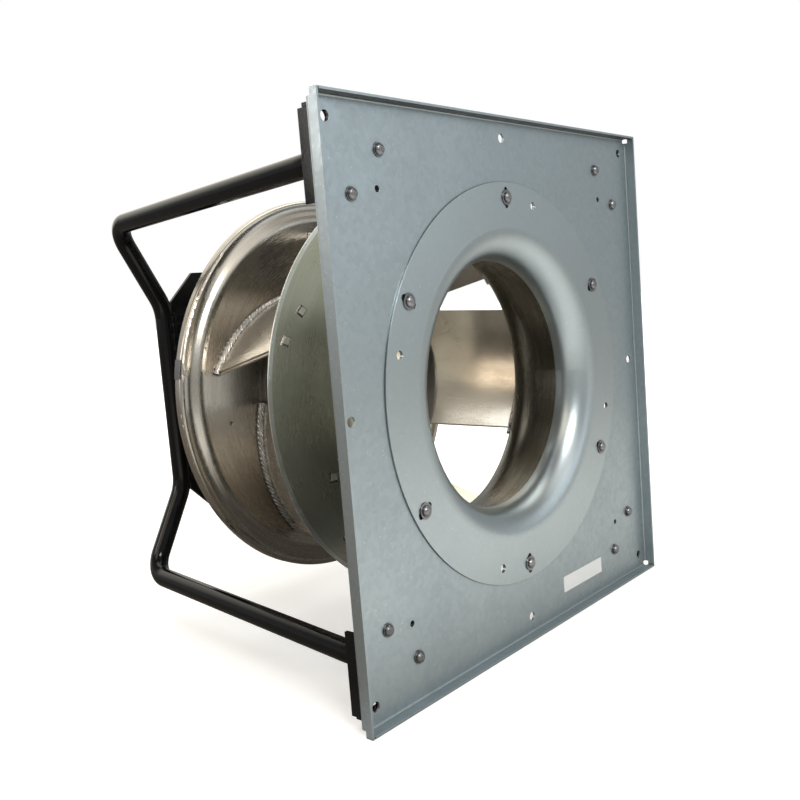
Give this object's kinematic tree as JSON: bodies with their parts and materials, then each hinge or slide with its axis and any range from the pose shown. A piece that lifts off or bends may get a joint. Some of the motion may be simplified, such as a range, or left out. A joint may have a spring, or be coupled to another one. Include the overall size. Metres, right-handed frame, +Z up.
{
  "type": "centrifugal fan",
  "caption": "Plug fan: square support plate with a bell-mouth nozzle, a welded backward-curved impeller and an external rotor motor held by a bent tube frame.",
  "frame": {"origin": "on the fan axis, in the front face of the support plate", "axes": "+X to the right seen from the inlet, +Y along the fan axis from the inlet towards the motor, +Z up"},
  "size_m": [0.63, 0.5045, 0.63],
  "materials": {
    "galvanised_sheet": "galvanised, satin grey with faint spangle",
    "nozzle_sheet": "galvanised, spun smooth",
    "zinc_fasteners": "zinc plated",
    "black_paint": "gloss black",
    "impeller_aluminium": "mill finish, lightly brushed",
    "weld_bead": "rippled weld",
    "cast_aluminium": "die cast, fine grain",
    "gasket_rubber": "matt",
    "black_plastic": "moulded",
    "board": "solder resist",
    "capacitor_can": "sleeved",
    "core_steel": "laminated, oiled",
    "winding_copper": "enamelled wire",
    "bearing_steel": "ground"
  },
  "bodies": {
    "frame": {"support_plate": "galvanised_sheet", "inlet_nozzle": "nozzle_sheet", "nozzle_screws": "zinc_fasteners", "nozzle_washers": "zinc_fasteners", "nozzle_nuts": "zinc_fasteners", "upper_left_bracket": "black_paint", "upper_right_bracket": "black_paint", "lower_left_bracket": "black_paint", "lower_right_bracket": "black_paint", "bracket_screws": "zinc_fasteners", "bracket_washers": "zinc_fasteners", "bracket_nuts": "zinc_fasteners", "left_frame_tube": "black_paint", "right_frame_tube": "black_paint", "frame_welds": "black_paint", "motor_plate": "black_paint", "motor_screws": "zinc_fasteners", "motor_washers": "zinc_fasteners", "electronics_housing": "cast_aluminium", "terminal_cover": "cast_aluminium", "cover_gasket": "gasket_rubber", "cover_screws": "zinc_fasteners", "cable_glands": "black_plastic", "circuit_board": "board", "capacitors": "capacitor_can", "terminal_block": "black_plastic", "stator_bush": "cast_aluminium", "stator_screws": "zinc_fasteners", "stator_core": "core_steel", "stator_windings": "winding_copper", "front_bearing_outer": "bearing_steel", "rear_bearing_outer": "bearing_steel", "preload_washer": "bearing_steel"},
    "impeller": {"back_disc": "impeller_aluminium", "front_shroud": "impeller_aluminium", "blade_1": "impeller_aluminium", "blade_2": "impeller_aluminium", "blade_3": "impeller_aluminium", "blade_4": "impeller_aluminium", "blade_5": "impeller_aluminium", "blade_root_welds": "weld_bead", "blade_tip_welds": "weld_bead", "balance_clip": "core_steel", "rotor_bell": "black_paint", "rotor_magnets": "core_steel", "hub_screws": "zinc_fasteners", "hub_nuts": "zinc_fasteners", "shaft": "bearing_steel", "shaft_circlip": "bearing_steel", "front_bearing_inner": "bearing_steel", "rear_bearing_inner": "bearing_steel"},
    "front_ball_cage": {"front_bearing_balls": "bearing_steel"},
    "rear_ball_cage": {"rear_bearing_balls": "bearing_steel"}
  },
  "joints": [
    {"name": "impeller_spin", "type": "hinge", "parent": "frame", "child": "impeller", "pos_m": [0, 0.3, 0], "axis": [0, 1, 0], "continuous": true},
    {"name": "front_cage_spin", "type": "hinge", "parent": "frame", "child": "front_ball_cage", "pos_m": [0, 0.2515, 0], "axis": [0, 1, 0], "continuous": true},
    {"name": "rear_cage_spin", "type": "hinge", "parent": "frame", "child": "rear_ball_cage", "pos_m": [0, 0.3425, 0], "axis": [0, 1, 0], "continuous": true}
  ],
  "couplings": [
    {"joint": "front_cage_spin", "follows": "impeller_spin", "ratio": 0.404},
    {"joint": "rear_cage_spin", "follows": "impeller_spin", "ratio": 0.404}
  ]
}
